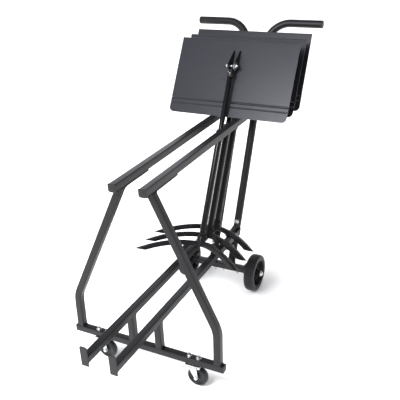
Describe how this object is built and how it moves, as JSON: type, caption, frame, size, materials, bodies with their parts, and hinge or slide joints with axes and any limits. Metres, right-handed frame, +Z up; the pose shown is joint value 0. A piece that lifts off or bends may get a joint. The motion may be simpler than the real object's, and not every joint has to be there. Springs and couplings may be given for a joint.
{
  "type": "music stand storage cart",
  "caption": "Wheeled steel storage cart with a bent front frame, paired rails and outturned push grips, carrying tilted nested music stands with sheet-metal desks.",
  "frame": {"origin": "on the floor, midway between the two sides and between the front stops and the back of the push grips", "axes": "+Z up, +Y from the front crossbar towards the push grips, +X to the right seen from the front crossbar looking at the grips"},
  "size_m": [0.5964, 1.3626, 1.0472],
  "materials": {
    "frame_paint": "satin black powder coat",
    "desk_paint": "satin dark grey powder coat",
    "tube_enamel": "gloss black enamel",
    "cap_plastic": "matte black",
    "head_plastic": "semi-gloss black",
    "zinc": "bright zinc plate",
    "caster_rubber": "matte black",
    "tyre": "matte dark grey",
    "wheel_plastic": "satin black"
  },
  "bodies": {
    "cart": {"front_crossbar": "frame_paint", "front_leg_left": "frame_paint", "front_leg_right": "frame_paint", "upper_rail_left": "frame_paint", "upper_rail_right": "frame_paint", "lower_rail_left": "frame_paint", "lower_rail_right": "frame_paint", "rail_stop_left": "frame_paint", "rail_stop_right": "frame_paint", "rail_support_left": "frame_paint", "rail_support_right": "frame_paint", "rear_beam": "frame_paint", "axle_bracket_left": "frame_paint", "axle_bracket_right": "frame_paint", "handle_post_left": "frame_paint", "handle_post_right": "frame_paint", "post_brace_left": "frame_paint", "post_brace_right": "frame_paint", "crossbar_plug_left": "cap_plastic", "crossbar_plug_right": "cap_plastic", "rail_cap_left": "cap_plastic", "rail_cap_right": "cap_plastic", "grip_cap_left": "cap_plastic", "grip_cap_right": "cap_plastic", "rear_axle": "zinc", "axle_cap_left": "zinc", "axle_cap_right": "zinc", "caster_plate_left": "zinc", "caster_plate_right": "zinc"},
    "caster_swivel_left": {"caster_fork_left": "zinc", "caster_axle_left": "zinc"},
    "caster_roller_left": {"caster_wheel_left": "caster_rubber"},
    "rear_roller_left": {"rear_tyre_left": "tyre", "rear_wheel_left": "wheel_plastic"},
    "caster_swivel_right": {"caster_fork_right": "zinc", "caster_axle_right": "zinc"},
    "caster_roller_right": {"caster_wheel_right": "caster_rubber"},
    "rear_roller_right": {"rear_tyre_right": "tyre", "rear_wheel_right": "wheel_plastic"},
    "stand_3": {"stand_3_base": "tube_enamel", "stand_3_outer_tube": "tube_enamel"},
    "mast_3": {"stand_3_inner_tube": "tube_enamel", "stand_3_head": "head_plastic"},
    "desk_3": {"stand_3_bracket": "head_plastic", "stand_3_pivot_bolt": "zinc", "stand_3_desk": "desk_paint"},
    "stand_2": {"stand_2_base": "tube_enamel", "stand_2_outer_tube": "tube_enamel"},
    "mast_2": {"stand_2_inner_tube": "tube_enamel", "stand_2_head": "head_plastic"},
    "desk_2": {"stand_2_bracket": "head_plastic", "stand_2_pivot_bolt": "zinc", "stand_2_desk": "desk_paint"},
    "stand_1": {"stand_1_base": "tube_enamel", "stand_1_outer_tube": "tube_enamel"},
    "mast_1": {"stand_1_inner_tube": "tube_enamel", "stand_1_head": "head_plastic"},
    "desk_1": {"stand_1_bracket": "head_plastic", "stand_1_pivot_bolt": "zinc", "stand_1_desk": "desk_paint"}
  },
  "joints": [
    {"name": "caster_turn_left", "type": "hinge", "parent": "cart", "child": "caster_swivel_left", "pos_m": [-0.185, -0.40945, 0.078], "axis": [0, 0, 1], "continuous": true},
    {"name": "caster_roll_left", "type": "hinge", "parent": "caster_swivel_left", "child": "caster_roller_left", "pos_m": [-0.1725, -0.40945, 0.037], "axis": [0, 1, 0], "continuous": true},
    {"name": "rear_roll_left", "type": "hinge", "parent": "cart", "child": "rear_roller_left", "pos_m": [-0.1545, 0.21405, 0.0775], "axis": [1, 0, 0], "continuous": true},
    {"name": "caster_turn_right", "type": "hinge", "parent": "cart", "child": "caster_swivel_right", "pos_m": [0.185, -0.40945, 0.078], "axis": [0, 0, 1], "continuous": true},
    {"name": "caster_roll_right", "type": "hinge", "parent": "caster_swivel_right", "child": "caster_roller_right", "pos_m": [0.1975, -0.40945, 0.037], "axis": [0, 1, 0], "continuous": true},
    {"name": "rear_roll_right", "type": "hinge", "parent": "cart", "child": "rear_roller_right", "pos_m": [0.1545, 0.21405, 0.0775], "axis": [1, 0, 0], "continuous": true},
    {"name": "stand_3_slide", "type": "slide", "parent": "cart", "child": "stand_3", "axis": [0, -1, 0], "range_m": [0, 0.165]},
    {"name": "stand_3_height", "type": "slide", "parent": "stand_3", "child": "mast_3", "axis": [0, 0.4716, 0.8818], "range_m": [0, 0.03]},
    {"name": "stand_3_tilt", "type": "hinge", "parent": "mast_3", "child": "desk_3", "pos_m": [0, 0.51753, 0.91475], "axis": [1, 0, 0], "range_deg": [-0.7, 0]},
    {"name": "stand_2_slide", "type": "slide", "parent": "stand_3", "child": "stand_2", "axis": [0, -1, 0], "range_m": [0, 0.165]},
    {"name": "stand_2_height", "type": "slide", "parent": "stand_2", "child": "mast_2", "axis": [0, 0.4716, 0.8818], "range_m": [0, 0.038]},
    {"name": "stand_2_tilt", "type": "hinge", "parent": "mast_2", "child": "desk_2", "pos_m": [0, 0.44217, 0.91034], "axis": [1, 0, 0], "range_deg": [-1.8, 0]},
    {"name": "stand_1_slide", "type": "slide", "parent": "stand_2", "child": "stand_1", "axis": [0, -1, 0], "range_m": [0, 0.165]},
    {"name": "stand_1_height", "type": "slide", "parent": "stand_1", "child": "mast_1", "axis": [0, 0.4716, 0.8818], "range_m": [0, 0.3]},
    {"name": "stand_1_tilt", "type": "hinge", "parent": "mast_1", "child": "desk_1", "pos_m": [0, 0.36917, 0.91034], "axis": [1, 0, 0], "range_deg": [-1.8, 0]}
  ]
}
